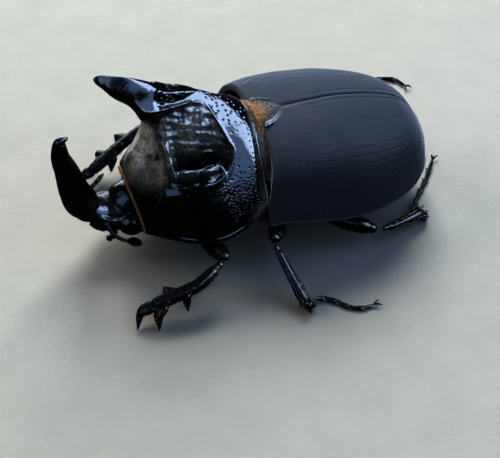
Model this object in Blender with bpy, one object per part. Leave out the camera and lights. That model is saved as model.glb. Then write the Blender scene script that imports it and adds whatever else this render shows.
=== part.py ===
"""Rhinoceros beetle, a male, life size: the still model of a large horned scarab standing on level ground.

Working frame, in millimetres: +X is the beetle's left, -Y is where it looks, +Z is up. x = 0 is the
mid-plane, y = 0 is the middle of the pronotum's rear margin, z = 0 is the ground. The last lines move
everything so that the origin is the middle of the bounding box's bottom.
"""

import math

import bmesh
import bpy
import numpy as np

MM = 0.001
GAP = 0.3  # clear space left between two pieces that meet

# Driving sizes
PRONOTUM_LENGTH = 19.1
ELYTRA_LENGTH = 25.2
ELYTRA_START = 0.6
ELYTRA_EDGE = 6.2  # height of the lower rim of the wing cases
SHELL = 1.0  # thickness of a wing case

# Named curves: (y, value) knots along the body
PRONOTUM_WIDTH = [(-19.1, 6.2), (-17.7, 7.0), (-14.5, 9.2), (-11.0, 11.5), (-8.0, 12.1), (-4.0, 11.6),
                  (0.0, 10.6)]
PRONOTUM_EDGE = [(-19.1, 6.8), (-14.5, 6.9), (-11.0, 7.3), (-8.0, 7.3), (-4.5, 7.9), (-2.5, 9.0), (0.0, 10.5)]
PRONOTUM_CREST = [(-19.1, 11.2), (-18.6, 13.0), (-17.4, 15.2), (-16.2, 17.0), (-15.3, 19.2), (-14.4, 21.8),
                  (-13.0, 23.8), (-10.5, 24.5), (-7.6, 23.8), (-5.0, 22.2), (-2.5, 20.3), (0.0, 18.4)]
ELYTRA_CREST = [(0.6, 17.2), (3.0, 17.8), (7.0, 18.1), (10.5, 18.1), (14.0, 17.7), (18.0, 16.8), (21.0, 15.7),
                (23.2, 14.0), (24.6, 11.8), (25.4, 9.4), (25.8, 7.6)]

# The hollow on each side of the pronotum
HOLLOW_FLOOR = 13.2
HOLLOW_IN, HOLLOW_OUT = (1.5, 3.2), (6.6, 9.0)
HOLLOW_FRONT = (-13.9, -12.5)

MATERIALS = {
    "shell_black": ((0.012, 0.011, 0.011), 0.18),
    "wing_case": ((0.045, 0.044, 0.048), 0.5),
    "underside": ((0.045, 0.020, 0.012), 0.35),
    "limb_black": ((0.010, 0.009, 0.009), 0.22),
    "eye": ((0.008, 0.006, 0.006), 0.1),
}


def material(name):
    found = bpy.data.materials.get(name)
    if found:
        return found
    colour, rough = MATERIALS[name]
    found = bpy.data.materials.new(name)
    found.use_nodes = True
    shader = found.node_tree.nodes["Principled BSDF"]
    shader.inputs["Base Color"].default_value = (*colour, 1.0)
    shader.inputs["Roughness"].default_value = rough
    found.diffuse_color = (*colour, 1.0)
    return found


def step(a, b, v):
    """0 at a, 1 at b, and smooth between; a may be the larger."""
    t = min(1.0, max(0.0, (v - a) / (b - a)))
    return t * t * (3 - 2 * t)


def curve(knots, v):
    """Smooth value at v through (position, value) knots, with no overshoot between them."""
    x = [k[0] for k in knots]
    y = np.array([k[1] for k in knots], float)
    if v <= x[0]:
        return y[0]
    if v >= x[-1]:
        return y[-1]
    i = max(j for j in range(len(x) - 1) if x[j] <= v)
    slope = [(y[j + 1] - y[j]) / (x[j + 1] - x[j]) for j in range(len(x) - 1)]

    def tangent(j):
        if j == 0:
            return slope[0]
        if j == len(x) - 1:
            return slope[-1]
        both = slope[j - 1] * slope[j]
        return np.where(both > 0, 2 * both / (slope[j - 1] + slope[j] + 1e-12), 0.0)

    h = x[i + 1] - x[i]
    t = (v - x[i]) / h
    return (y[i] * (1 + 2 * t) * (1 - t) ** 2 + tangent(i) * h * t * (1 - t) ** 2
            + y[i + 1] * t * t * (3 - 2 * t) - tangent(i + 1) * h * t * t * (1 - t))


def finish(obj, name, surface):
    obj.name = name
    obj.data.name = name
    obj.data.materials.append(material(surface))
    return obj


def loft(name, surface, around, rings, section):
    """A closed body: a UV sphere whose rings are laid out again as section(k, angle), k from 0 to 1."""
    bpy.ops.mesh.primitive_uv_sphere_add(segments=around, ring_count=rings, radius=1.0)
    obj = finish(bpy.context.object, name, surface)
    poles = {0: [], rings: []}
    near = {0: [], rings: []}
    for vertex in obj.data.vertices:
        i = round(math.acos(max(-1, min(1, vertex.co.z))) / math.pi * rings)
        if i in poles:
            poles[i].append(vertex)
            continue
        point = section((i - 1) / (rings - 2), math.atan2(vertex.co.y, vertex.co.x))
        vertex.co = [c * MM for c in point]
        for pole, ring in ((0, 1), (rings, rings - 1)):
            if i == ring:
                near[pole].append(vertex.co.copy())
    for pole, vertices in poles.items():
        for vertex in vertices:
            vertex.co = sum(near[pole], start=near[pole][0] * 0) / len(near[pole])
    whole = bmesh.new()
    whole.from_mesh(obj.data)
    if whole.calc_volume(signed=True) < 0:
        bmesh.ops.reverse_faces(whole, faces=whole.faces)
    whole.to_mesh(obj.data)
    whole.free()
    return obj


def limb(name, surface, path, sizes, side=(1, 0, 0), around=10, rings=9, floor=0.0, beads=0, blunt=6):
    """A tapering piece along `path`: `sizes` are its half-sizes along `side` and across it, at each point."""
    path = np.array(path, float)
    sizes = np.array(sizes, float)
    lengths = np.concatenate([[0], np.cumsum(np.linalg.norm(np.diff(path, axis=0), axis=1))])
    at = lengths / lengths[-1]

    def along(values, k):
        return np.array([curve(list(zip(at, values[:, c])), k) for c in range(values.shape[1])])

    def section(k, angle):
        here, ahead = along(path, max(0, k - 0.01)), along(path, min(1, k + 0.01))
        direction = (ahead - here) / np.linalg.norm(ahead - here)
        a = np.array(side, float)
        a = a - direction * a.dot(direction)
        a /= np.linalg.norm(a)
        b = np.cross(a, direction)
        end = abs(2 * k - 1) * (1 - 1 / rings)
        cap = (1 - end ** blunt) ** 0.5
        bead = 1 + (0.16 * math.sin(2 * math.pi * beads * k) if beads else 0)
        wide, deep = along(sizes, k) * cap * bead
        point = along(path, k) + a * wide * math.cos(angle) + b * deep * math.sin(angle)
        point[2] = max(point[2], floor)
        return point

    return loft(name, surface, around, rings, section)


def helper(obj, grow=0.0):
    """A hidden copy of a piece's plain shape, grown all round, for cutting a seat for it."""
    copy = obj.copy()
    copy.data = obj.data.copy()
    copy.modifiers.clear()
    copy.name = "cut_" + obj.name
    bpy.context.scene.collection.objects.link(copy)
    if grow:
        swell = copy.modifiers.new("grow", "DISPLACE")
        swell.strength = grow * MM
        swell.mid_level = 0.0
    copy.hide_render = True
    return copy


def boolean(obj, other, operation="DIFFERENCE"):
    other.hide_render = True
    change = obj.modifiers.new(operation.lower(), "BOOLEAN")
    change.operation = operation
    change.object = other
    change.solver = "MANIFOLD"
    return obj


def seat(obj, *guests):
    """Cuts room for each guest out of obj."""
    for guest in guests:
        boolean(obj, helper(guest, GAP))


def box(low, high):
    bpy.ops.mesh.primitive_cube_add(size=1.0)
    obj = bpy.context.object
    obj.scale = [(b - a) * MM for a, b in zip(low, high)]
    obj.location = [(a + b) / 2 * MM for a, b in zip(low, high)]
    obj.name = "cut_box"
    obj.hide_render = True
    return obj


def mirrored(point, sign):
    return (point[0] * sign, point[1], point[2])


# --- Pronotum: an arched shield, keeled along the middle, with a deep hollow on each side
def pronotum_top(x, y):
    s = min(1.0, abs(x) / curve(PRONOTUM_WIDTH, y))
    edge, crest = curve(PRONOTUM_EDGE, y), curve(PRONOTUM_CREST, y)
    back = step(-6.0, 0.0, y)
    power = 1.15 + 0.85 * back + 0.2 * step(-13.0, -19.0, y)
    z = edge + (crest - edge) * (1 - s ** power) ** (0.75 + 0.25 * back)
    rim = -6.9 + 2.5 * step(1.5, 6.0, abs(x))
    hollow = (step(*HOLLOW_IN, abs(x)) * (1 - step(*HOLLOW_OUT, abs(x)))
              * step(*HOLLOW_FRONT, y) * (1 - step(rim - 1.6, rim, y)))
    floor = HOLLOW_FLOOR + 0.12 * (abs(x) - 4.0) ** 2
    return z + (min(z, floor) - z) * hollow


def pronotum_underside(x, y):
    s = min(1.0, abs(x) / curve(PRONOTUM_WIDTH, y))
    return curve(PRONOTUM_EDGE, y) - 0.5 - 1.2 * (1 - s * s) ** 0.5


def pronotum_section(k, angle):
    c = math.cos(angle)
    s = c * abs(c) ** 0.5
    y = -PRONOTUM_LENGTH * math.sin(k * math.pi / 2)
    x = s * curve(PRONOTUM_WIDTH, y)
    if math.sin(angle) >= -1e-6:
        z = pronotum_top(x, y)
    else:
        z = pronotum_underside(x, y)
    bend = 1.3 * k * k * abs(s) ** 1.6 - 0.9 * (1 - k) ** 2 * s * s
    return x, y + bend, z


# --- Wing cases and the abdomen below them: half-domes of the same shape, one inside the other
def elytra_width(y):
    if y < 11.5:
        return 12.6 - 0.5 * ((11.5 - y) / 11.0) ** 2
    return 12.6 * max(0.0, 1 - ((y - 11.5) / 14.35) ** 2) ** 0.5


def dome(name, surface, inset, drop, around, rings, belly):
    """A domed body over the hind half; belly is the height of its underside on the mid-plane."""
    start, end = ELYTRA_START + inset, ELYTRA_START + ELYTRA_LENGTH - inset

    def section(k, angle):
        y = start + (end - start) * math.sin(k * math.pi / 2)
        reach = max(0.35, elytra_width(y + inset * k * k) - inset)
        top = curve(ELYTRA_CREST, y + inset * k * k) - inset
        c, s = math.cos(angle), math.sin(angle)
        square = 0.76 - 0.2 * (1 - step(0.0, 0.45, k))
        x = reach * math.copysign(abs(c) ** square, c)
        y -= 2.2 * (1 - k) ** 3 * (x / 12.2) ** 6
        low = ELYTRA_EDGE - drop + 1.6 * (1 - step(0.0, 0.3, k))
        if s >= 0:
            return x, y, low + max(0.3, top - low) * s ** square
        x = reach * math.copysign(abs(c) ** 1.1, c)
        fall = (low - belly) * step(0.1, 0.35, k) * (1 - step(0.75, 1.0, k) * 0.7)
        return x, y, low - fall * abs(s) ** 0.8

    return loft(name, surface, around, rings, section)


for old in list(bpy.data.objects):
    bpy.data.objects.remove(old)

pronotum = loft("pronotum", "shell_black", 36, 18, pronotum_section)
thorax_horn = limb("thorax_horn", "shell_black",
                   [(0, -8.4, 23.6), (0, -12.8, 23.4), (0, -17.3, 26.0), (0, -21.2, 28.5)],
                   [(1.5, 1.0), (2.9, 2.2), (1.5, 1.9), (1.0, 0.85)], around=12, rings=11)
seat(pronotum, thorax_horn)

elytra_outer = dome("elytra_outer", "wing_case", 0.0, 0.0, 24, 15, ELYTRA_EDGE - 1.0)
elytra_inner = dome("elytra_inner", "wing_case", SHELL, 0.6, 20, 13, 1.0)
elytra_outer.hide_render = elytra_inner.hide_render = True
scutellum = limb("scutellum", "shell_black", [(0, 1.5, 17.6), (0, 2.6, 17.8), (0, 5.0, 18.0)],
                 [(2.9, 0.5), (2.3, 0.55), (0.5, 0.4)], around=10, rings=7)
wing_cases = []
for name, sign in (("elytron_left", 1), ("elytron_right", -1)):
    case = elytra_outer.copy()
    case.data = elytra_outer.data.copy()
    case.hide_render = False
    case.name = case.data.name = name
    bpy.context.scene.collection.objects.link(case)
    boolean(case, elytra_inner)
    half = box((-20, -10, -5), (GAP / 2, 40, 40)) if sign > 0 else box((-GAP / 2, -10, -5), (20, 40, 40))
    boolean(case, half)
    boolean(case, box((-30, -10, -5), (30, 40, ELYTRA_EDGE)))
    seat(case, scutellum, pronotum)
    wing_cases.append(case)

abdomen = dome("abdomen", "underside", SHELL + GAP, 0.6, 20, 13, 2.6)

# --- Underside of the thorax: a plate below the pronotum and a broader one below the wing bases
def plate(name, start, end, reach, top, bottom, around=16, rings=9):
    def section(k, angle):
        y = start + (end - start) * k
        c, s = math.cos(angle), math.sin(angle)
        round_off = (1 - abs(2 * k - 1) ** 3 * 0.55)
        x = reach * round_off * math.copysign(abs(c) ** 0.8, c)
        middle = (top(0, y) + bottom) / 2
        if s > 0:
            z = middle + (top(x, y) - middle) * abs(s) ** 0.7
        else:
            z = middle - (middle - bottom) * abs(s) ** 0.8
        return x, y, z

    return loft(name, "underside", around, rings, section)


prosternum = plate("prosternum", -17.0, -3.0, 6.4, lambda x, y: pronotum_underside(x, y) - GAP, 3.0)


def sternum_top(x, y):
    under_shield = pronotum_underside(x, min(y, 0.0)) - GAP
    return 5.2 + (under_shield - 5.3) * (1 - step(-0.2, 1.6, y))


sternum = plate("sternum", -2.6, 9.0, 8.6, sternum_top, 2.2)
seat(abdomen, sternum)
pygidium = limb("pygidium", "underside", [(0, 23.2, 3.2), (0, 25.3, 5.4)], [(5.2, 1.3), (3.4, 1.3)],
                around=12, rings=7)
seat(pygidium, elytra_outer)
seat(abdomen, pygidium)

# --- Head: a low block with a broad front, a tall horn that hooks back, and small mouthparts
head = limb("head", "shell_black", [(0, -18.6, 6.7), (0, -21.2, 6.4), (0, -23.4, 7.0), (0, -25.7, 7.6)],
            [(2.7, 2.1), (2.8, 2.0), (2.3, 1.9), (1.7, 1.3)], around=12, rings=8, blunt=4)
head_horn = limb("head_horn", "shell_black",
                 [(0, -24.1, 8.3), (0, -25.5, 10.8), (0, -26.1, 14.4), (0, -26.9, 17.6), (0, -26.8, 19.7),
                  (0, -25.4, 20.0)],
                 [(1.9, 2.2), (1.6, 1.9), (1.2, 1.5), (0.95, 0.95), (0.75, 0.75), (0.45, 0.5)],
                 around=12, rings=15)
seat(head, head_horn, pronotum)


def eye(name, sign):
    bpy.ops.mesh.primitive_uv_sphere_add(segments=10, ring_count=6, radius=0.85 * MM,
                                         location=[c * MM for c in (2.6 * sign, -20.0, 6.0)])
    return finish(bpy.context.object, name, "eye")


eyes = [eye("eye_left", 1), eye("eye_right", -1)]
seat(head, *eyes)
mouthparts = []
for side, sign in (("left", 1), ("right", -1)):
    for name, path, sizes in (
        ("mandible", [(1.6, -20.8, 4.4), (1.8, -22.4, 4.7), (1.1, -23.9, 5.2)],
         [(0.7, 0.6), (0.8, 0.5), (0.3, 0.3)]),
        ("palp", [(1.9, -20.6, 4.6), (2.9, -20.6, 3.3), (3.4, -21.6, 2.4)],
         [(0.3, 0.3), (0.3, 0.3), (0.35, 0.35)]),
        ("antenna", [(2.6, -21.8, 5.7), (3.6, -21.4, 4.9), (4.3, -20.2, 3.9), (4.4, -18.2, 2.9)],
         [(0.4, 0.4), (0.3, 0.3), (0.35, 0.35), (0.75, 0.5)]),
    ):
        mouthparts.append(limb(f"{name}_{side}", "limb_black", [mirrored(p, sign) for p in path], sizes,
                               around=6, rings=6))
seat(head, *mouthparts)


# --- Legs: thigh, shin and foot. The shins carry teeth and spurs, and the feet rest on small flats at z = 0
def leg(name, thigh, shin, shin_sizes, spikes, foot, claws, foot_size=0.36):
    sign = math.copysign(1, thigh[0][0])
    femur = limb("femur_" + name, "limb_black", thigh, [(0.9, 0.9), (1.25, 1.2), (0.85, 0.85)],
                 side=(0, 1, 0), around=8, rings=7, blunt=5)
    tibia = limb("tibia_" + name, "limb_black", shin, shin_sizes, side=(sign, 0, 0.8), around=8, rings=8,
                 blunt=8)
    for path in spikes:
        spike_sizes = [(0.62, 0.62), (0.5, 0.5), (0.28, 0.28)][3 - len(path):]
        spike = limb("cut_spike", "limb_black", path, spike_sizes, around=6, rings=6)
        boolean(tibia, spike, "UNION")
    sizes = [(foot_size, foot_size)] * (len(foot) - 1) + [(0.3, 0.3)]
    tarsus = limb("tarsus_" + name, "limb_black", foot, sizes, side=(0.3, 1, 0), around=6, rings=12, beads=5)
    for tip in claws:
        claw = limb("cut_claw", "limb_black", [foot[-1], tip], [(0.27, 0.27), (0.25, 0.25)], around=5,
                    rings=5)
        boolean(tarsus, claw, "UNION")
    seat(femur, tibia)
    seat(tibia, tarsus)
    return femur


shin_fore = [(0.85, 0.8), (1.15, 0.95), (1.2, 1.05)]
shin_mid = [(0.65, 0.65), (0.8, 0.75), (1.1, 1.0)]
shin_hind = [(0.7, 0.7), (0.9, 0.8), (1.35, 1.1)]
femora = {
    "fore_left": leg("fore_left", [(6.6, -9.6, 3.8), (10.4, -8.9, 4.6), (14.4, -8.2, 5.9)],
                     [(14.9, -8.9, 5.9), (16.8, -14.0, 4.2), (17.0, -19.6, 3.0)], shin_fore,
                     [[(16.9, -19.2, 2.8), (16.8, -20.9, 2.1), (18.3, -22.1, 0.2)],
                      [(17.0, -18.0, 2.8), (18.1, -19.0, 1.6), (19.4, -19.3, 0.2)],
                      [(17.1, -14.9, 3.4), (18.3, -15.0, 1.7)],
                      [(16.7, -16.5, 3.5), (14.5, -17.3, 3.5)]],
                     [(15.3, -17.6, 2.0), (14.0, -15.2, 1.2), (13.2, -12.6, 0.5), (12.6, -10.6, 0.35)],
                     [(12.0, -9.9, 0.5), (12.9, -9.6, 0.5)]),
    "fore_right": leg("fore_right", [(-6.6, -9.6, 3.8), (-11.2, -9.6, 4.7), (-15.5, -9.5, 6.4)],
                      [(-16.1, -10.2, 6.6), (-14.6, -15.4, 4.5), (-12.6, -20.6, 2.4)], shin_fore,
                      [[(-12.9, -20.2, 2.3), (-13.2, -21.2, 1.7), (-14.5, -21.8, 0.2)],
                       [(-14.0, -18.1, 3.2), (-15.4, -18.5, 2.8), (-17.0, -18.8, 1.9)],
                       [(-14.9, -14.8, 4.6), (-18.0, -15.5, 4.0)],
                       [(-13.9, -17.0, 3.2), (-12.7, -17.5, 1.4)]],
                      [(-12.7, -18.6, 1.6), (-11.9, -20.0, 0.9), (-11.3, -21.2, 0.4), (-10.9, -22.4, 0.35)],
                      [(-10.3, -23.0, 0.5), (-11.2, -23.3, 0.5)]),
    "middle_left": leg("middle_left", [(7.4, 1.6, 3.6), (10.2, 0.4, 4.8), (13.4, -1.1, 6.3)],
                       [(14.2, -1.3, 6.2), (18.2, -0.3, 3.5), (21.5, 0.6, 1.4)], shin_mid,
                       [[(21.4, 0.6, 1.4), (22.5, 1.0, 0.2)], [(21.2, 1.0, 1.3), (21.8, 1.9, 0.6)]],
                       [(20.6, 1.7, 0.9), (20.6, 3.2, 0.5), (21.7, 4.9, 0.4), (23.3, 6.4, 0.35),
                        (24.0, 8.2, 0.35), (23.9, 9.6, 0.35)],
                       [(24.4, 10.6, 0.4), (23.3, 10.6, 0.4)]),
    "middle_right": leg("middle_right", [(-7.4, 1.6, 3.6), (-10.2, 0.4, 4.8), (-13.2, -1.1, 6.2)],
                        [(-13.9, -1.3, 6.1), (-17.4, -0.3, 3.5), (-20.3, 0.8, 1.4)], shin_mid,
                        [[(-20.2, 0.8, 1.4), (-21.2, 1.2, 0.2)], [(-20.0, 1.2, 1.3), (-20.5, 2.1, 0.6)]],
                        [(-19.4, 1.9, 0.9), (-19.6, 3.4, 0.5), (-20.6, 5.0, 0.4), (-21.6, 6.6, 0.35),
                         (-21.8, 8.2, 0.35), (-21.4, 9.6, 0.35)],
                        [(-21.8, 10.6, 0.4), (-20.7, 10.5, 0.4)]),
    "hind_left": leg("hind_left", [(7.8, 8.2, 3.4), (10.6, 11.2, 3.5), (13.0, 14.2, 3.3)],
                     [(13.1, 15.1, 3.2), (11.5, 18.6, 2.2), (9.6, 22.3, 1.35)], shin_hind,
                     [[(9.6, 21.9, 1.2), (8.2, 23.4, 0.3)], [(9.9, 22.2, 1.1), (9.3, 23.8, 0.3)]],
                     [(8.0, 21.6, 0.8), (6.4, 22.9, 0.5), (4.7, 24.4, 0.4), (2.2, 26.5, 0.35),
                      (0.0, 28.1, 0.35), (-1.5, 29.2, 0.35)],
                     [(-2.5, 29.4, 0.4), (-1.9, 30.3, 0.4)]),
    "hind_right": leg("hind_right", [(-7.8, 8.2, 3.4), (-10.8, 11.4, 3.8), (-13.6, 14.6, 3.8)],
                      [(-14.0, 15.5, 3.7), (-16.3, 19.0, 2.5), (-18.4, 22.4, 1.4)], shin_hind,
                      [[(-18.3, 22.0, 1.2), (-19.4, 23.6, 0.3)], [(-18.0, 22.4, 1.1), (-17.8, 23.9, 0.3)]],
                      [(-19.9, 22.7, 0.8), (-21.0, 24.2, 0.5), (-21.9, 26.4, 0.4), (-22.4, 29.2, 0.35),
                       (-21.3, 31.4, 0.35), (-19.4, 32.3, 0.35)],
                      [(-18.3, 31.9, 0.4), (-18.6, 33.0, 0.4)]),
}
seat(prosternum, femora["fore_left"], femora["fore_right"])
for name in ("middle_left", "middle_right", "hind_left", "hind_right"):
    seat(sternum, femora[name])
    seat(abdomen, femora[name])

# --- Origin: the middle of the bounding box's bottom
bpy.context.view_layer.update()
graph = bpy.context.evaluated_depsgraph_get()
corners = []
for obj in bpy.data.objects:
    if not obj.hide_render:
        shape = obj.evaluated_get(graph)
        corners += [shape.matrix_world @ v.co for v in shape.data.vertices]
low = [min(c[i] for c in corners) for i in range(3)]
high = [max(c[i] for c in corners) for i in range(3)]
for obj in bpy.data.objects:
    obj.location.x -= (low[0] + high[0]) / 2
    obj.location.y -= (low[1] + high[1]) / 2
    obj.location.z -= low[2]
print("shift in mm:", [round(1000 * v, 3) for v in ((low[0] + high[0]) / 2, (low[1] + high[1]) / 2, low[2])])
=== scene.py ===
# %% [markdown]
# # A rhinoceros beetle, life size
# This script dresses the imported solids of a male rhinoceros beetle. The solids fix every size and
# place. What is added here is what the eye wants: one smooth shell where horn and thorax are one plate,
# real pits and beads in that shell, velvety wing cases, toothed shins, and the golden hair where the
# plates meet.
#
# Everything is shaped in millimetres in the beetle's own frame, then moved once into the frame of the
# solids. In the beetle's frame +X is its left side, -Y is where it looks and +Z is up. Its mid-plane
# has x = 0, the rear margin of the thorax shield has y = 0, and the floor has z = 0.

# %% Load the solids and find the beetle's frame
import math

import bmesh
import bpy
import numpy as np
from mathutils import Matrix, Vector, kdtree


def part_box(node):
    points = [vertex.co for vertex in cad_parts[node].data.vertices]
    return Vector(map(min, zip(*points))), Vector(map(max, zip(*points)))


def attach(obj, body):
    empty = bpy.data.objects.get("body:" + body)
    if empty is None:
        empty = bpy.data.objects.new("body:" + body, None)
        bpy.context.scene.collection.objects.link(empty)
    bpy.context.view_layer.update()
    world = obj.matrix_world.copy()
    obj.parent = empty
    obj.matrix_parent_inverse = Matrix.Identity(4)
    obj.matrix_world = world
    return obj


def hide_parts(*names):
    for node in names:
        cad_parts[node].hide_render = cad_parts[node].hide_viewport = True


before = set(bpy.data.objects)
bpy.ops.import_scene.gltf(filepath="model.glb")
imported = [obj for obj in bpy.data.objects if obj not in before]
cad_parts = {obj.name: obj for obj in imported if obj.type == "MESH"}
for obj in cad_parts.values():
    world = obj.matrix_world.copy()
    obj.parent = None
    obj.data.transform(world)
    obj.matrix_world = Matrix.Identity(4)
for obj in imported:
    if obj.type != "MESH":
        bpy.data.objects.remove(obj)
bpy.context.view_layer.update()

MM = 0.001
SIDES = {"left": 1, "right": -1}
shield_low, shield_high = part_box("pronotum")
ORIGIN = np.array([(shield_low.x + shield_high.x) / 2, shield_high.y, 0.0]) / MM
print("beetle's frame sits at, mm:", ORIGIN.round(3))

# %% [markdown]
# ## Curves and steps
# An insect's plates have no straight lines, so nearly every size below is a smooth curve along the
# body. It is given as a few knots and read with a cubic that never overshoots between them. A smooth
# step blends one form into the next.


# %% Curves and steps
def step(a, b, v):
    """0 at a, 1 at b and smooth between; a may be the larger."""
    t = np.clip((v - a) / (b - a), 0.0, 1.0)
    return t * t * (3 - 2 * t)


def bump(centre, reach, v):
    """1 at the centre, falling smoothly to nothing about two reaches away."""
    return np.exp(-(((v - centre) / reach) ** 2))


def through(knots, v):
    """Smooth value at v through (position, value) knots."""
    x, y = np.array(knots, float).T
    rise = np.diff(y) / np.diff(x)
    slope = np.concatenate([rise[:1], np.zeros(len(x) - 2), rise[-1:]])
    same = rise[:-1] * rise[1:]
    slope[1:-1] = np.where(same > 0, 2 * same / (rise[:-1] + rise[1:] + 1e-12), 0.0)
    v = np.clip(v, x[0], x[-1])
    i = np.clip(np.searchsorted(x, v, "right") - 1, 0, len(x) - 2)
    h = x[i + 1] - x[i]
    t = (v - x[i]) / h
    start = y[i] * (1 + 2 * t) * (1 - t) ** 2 + slope[i] * h * t * (1 - t) ** 2
    end = y[i + 1] * t * t * (3 - 2 * t) - slope[i + 1] * h * t * t * (1 - t)
    return start + end


print("halfway through a test curve:", through([(0, 0), (1, 2), (2, 3)], 1.5))

# %% [markdown]
# ## Making meshes
# Three ways of making a mesh cover the whole animal. A loft lays rings along a body and closes both
# ends. A limb is a loft along a bent path. A skin melts overlapping closed pieces into one surface with
# a voxel remesh, which is how a horn can grow out of a shield with no seam. The remesh has a least
# voxel size, which is one reason to work in millimetres and shrink the result afterwards.


# %% Lofts and limbs
def new_object(name, points, faces):
    mesh = bpy.data.meshes.new(name)
    mesh.from_pydata(np.asarray(points, float).tolist(), [], faces)
    obj = bpy.data.objects.new(name, mesh)
    bpy.context.scene.collection.objects.link(obj)
    return obj


def unit(ways):
    """The same directions, each one long."""
    return ways / np.linalg.norm(ways, axis=-1, keepdims=True)


def grid_faces(rows, columns, wrap):
    """Quads over a grid of points that are numbered row by row."""
    r, c = np.meshgrid(np.arange(rows - 1), np.arange(columns if wrap else columns - 1), indexing="ij")
    ahead = (c + 1) % columns
    quads = [r * columns + c, r * columns + ahead, (r + 1) * columns + ahead, (r + 1) * columns + c]
    return np.stack(quads, -1).reshape(-1, 4).tolist()


def outward(obj):
    """Turns the faces of a closed mesh so that they point out."""
    whole = bmesh.new()
    whole.from_mesh(obj.data)
    if whole.calc_volume(signed=True) < 0:
        bmesh.ops.reverse_faces(whole, faces=whole.faces)
    whole.to_mesh(obj.data)
    whole.free()
    return obj


def loft(name, section, rings, around):
    """A closed body from section(k, angle), where k runs from 0 to 1 along it."""
    k = np.linspace(0, 1, rings)[:, None]
    angle = np.linspace(0, 2 * math.pi, around, endpoint=False)[None, :]
    points = np.stack(np.broadcast_arrays(*section(k, angle)), -1)
    ends = [points[0].mean(0), points[-1].mean(0)]
    last = rings * around
    caps = [[(j + 1) % around, j, last] for j in range(around)]
    caps += [[last - around + j, last - around + (j + 1) % around, last + 1] for j in range(around)]
    faces = grid_faces(rings, around, True) + caps
    return outward(new_object(name, [*points.reshape(-1, 3), *ends], faces))


def spacing(path):
    """How far along a path each of its points lies, from 0 to 1."""
    runs = np.linalg.norm(np.diff(path, axis=0), axis=1)
    return np.concatenate([[0], np.cumsum(runs)]) / runs.sum()


def follow(at, rows, k):
    """Smooth rows of values at k, where each given row belongs to a place in at."""
    return np.stack([through(list(zip(at, column)), k) for column in np.array(rows).T], -1)


def limb(name, path, sizes, side=(1, 0, 0), rings=40, around=24, blunt=6, beads=None):
    """A tapering body along a path. Sizes are half-widths along side and across it, beads swells it."""
    side, at = np.array(side, float), spacing(path)

    def section(k, angle):
        before, after = np.maximum(0, k - 0.01), np.minimum(1, k + 0.01)
        ahead = unit(follow(at, path, after) - follow(at, path, before))
        a = unit(side - ahead * (ahead @ side)[..., None])
        size = follow(at, sizes, k) * np.sqrt(1 - (np.abs(2 * k - 1) * 0.995) ** blunt)[..., None]
        if beads is not None:
            size = size * beads(k, angle)[..., None]
        across = (size[..., 0] * np.cos(angle))[..., None]
        up = (size[..., 1] * np.sin(angle))[..., None]
        point = follow(at, path, k) + a * across + np.cross(a, ahead) * up
        return point[..., 0], point[..., 1], np.maximum(point[..., 2], 0.0)

    return loft(name, section, rings, around)


def ball(name, centre, radii, rings=24, around=32):
    def section(k, angle):
        tilt = math.pi * (0.01 + 0.98 * k)
        return (centre[0] + radii[0] * np.sin(tilt) * np.cos(angle),
                centre[1] + radii[1] * np.sin(tilt) * np.sin(angle),
                centre[2] + radii[2] * np.cos(tilt) + 0 * angle)

    return loft(name, section, rings, around)


print("a loft is a closed body; a limb is a loft along a path")


# %% Skins, and reading and moving points
def triples(items, key):
    """One row of three numbers for each item."""
    flat = np.empty(len(items) * 3, np.float32)
    items.foreach_get(key, flat)
    return flat.reshape(-1, 3).astype(float)


def coords(obj):
    return triples(obj.data.vertices, "co")


def set_coords(obj, points):
    obj.data.vertices.foreach_set("co", np.asarray(points, np.float32).ravel())
    obj.data.update()


def normals(obj):
    return triples(obj.data.vertex_normals, "vector")


def push(obj, amount):
    """Moves every point along its normal by its own amount in mm. This is the carving tool."""
    set_coords(obj, coords(obj) + normals(obj) * np.asarray(amount)[:, None])


def copy_of(node):
    """A solid's mesh as a new object in the beetle's frame. The solid itself isn't touched."""
    obj = bpy.data.objects.new(node + "_copy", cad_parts[node].data.copy())
    bpy.context.scene.collection.objects.link(obj)
    set_coords(obj, coords(obj) / MM - ORIGIN)
    whole = bmesh.new()
    whole.from_mesh(obj.data)
    bmesh.ops.remove_doubles(whole, verts=whole.verts, dist=0.002)
    whole.to_mesh(obj.data)
    whole.free()
    return obj


def with_modifiers_applied(obj):
    made = bpy.data.meshes.new_from_object(obj.evaluated_get(bpy.context.evaluated_depsgraph_get()))
    obj.modifiers.clear()
    obj.data = made
    return obj


def skin(name, pieces, voxel, ease=4, swell=0.0):
    """One surface over overlapping closed pieces. Ease rounds it, swell puts back what that takes off."""
    points, faces, count = [], [], 0
    for piece in pieces:
        points.append(coords(piece))
        faces += [[count + v for v in face.vertices] for face in piece.data.polygons]
        count += len(points[-1])
        bpy.data.objects.remove(piece)
    obj = new_object(name, np.concatenate(points), faces)
    net = obj.modifiers.new("net", "REMESH")
    net.mode = "VOXEL"
    net.voxel_size = voxel
    rounder = obj.modifiers.new("rounder", "SMOOTH")
    rounder.factor = 0.5
    rounder.iterations = ease
    fuller = obj.modifiers.new("fuller", "DISPLACE")
    fuller.strength = swell
    fuller.mid_level = 0.0
    print(f"{name}: {len(with_modifiers_applied(obj).data.polygons)} faces at {voxel} mm")
    return obj


# %% [markdown]
# ## Noise and distance for carving
# Real chitin is never even. Lumps adds a few long waves at odd angles, so that reflections wander as
# they do in a cast surface. Pits scatters points on a jittered lattice and says how far each vertex is
# from the nearest one. Near gives the distance to a line drawn on the body, for beads and folds.


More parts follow.
